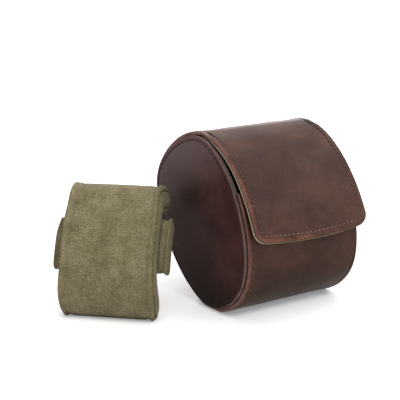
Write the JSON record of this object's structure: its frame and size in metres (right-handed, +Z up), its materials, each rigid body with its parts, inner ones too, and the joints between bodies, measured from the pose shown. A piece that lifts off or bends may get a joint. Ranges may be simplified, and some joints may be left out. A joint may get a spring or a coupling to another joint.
{
  "type": "watch travel case",
  "caption": "Oval leather box with round ends and a curved flap lid, standing beside the canvas cushion that carries a wristwatch inside it.",
  "frame": {"origin": "middle of the flat on which the leather box stands", "axes": "+X along the box towards its right end, -Y towards the front where the flap opens, +Z up"},
  "size_m": [0.1664, 0.1194, 0.1047],
  "materials": {
    "leather": "oiled, mottled, slight sheen",
    "end_leather": "oiled, smooth",
    "welt_leather": "plain",
    "board": "matt",
    "lining": "plain weave canvas",
    "leather_thread": "waxed",
    "canvas_thread": "waxed",
    "magnet": "plated",
    "canvas": "plain weave canvas",
    "foam": "foam under the canvas"
  },
  "bodies": {
    "case": {"body_leather": "leather", "body_board": "board", "body_lining": "lining", "left_welt": "welt_leather", "right_welt": "welt_leather", "panel_magnets": "magnet", "left_wrap_thread": "leather_thread", "right_wrap_thread": "leather_thread", "panel_thread": "leather_thread", "left_end_leather": "end_leather", "left_end_board": "board", "left_end_lining": "lining", "left_end_thread": "leather_thread", "right_end_leather": "end_leather", "right_end_board": "board", "right_end_lining": "lining", "right_end_thread": "leather_thread"},
    "flap": {"flap_leather": "leather", "flap_board": "board", "flap_lining": "lining", "flap_magnets": "magnet", "flap_thread": "leather_thread"},
    "cushion": {"cushion_canvas": "canvas", "cushion_foam": "foam", "cushion_left_end": "canvas", "cushion_right_end": "canvas", "cushion_left_thread": "canvas_thread", "cushion_right_thread": "canvas_thread", "bar_canvas": "canvas", "bar_foam": "foam", "bar_left_end": "canvas", "bar_right_end": "canvas"}
  },
  "joints": [
    {"name": "flap_hinge", "type": "hinge", "parent": "case", "child": "flap", "pos_m": [0, 0.0167, 0.10421], "axis": [-1, 0, 0], "range_deg": [0, 115]},
    {"name": "cushion_lift", "type": "slide", "parent": "case", "child": "cushion", "axis": [0, 0, 1], "range_m": [0, 0.12]}
  ]
}
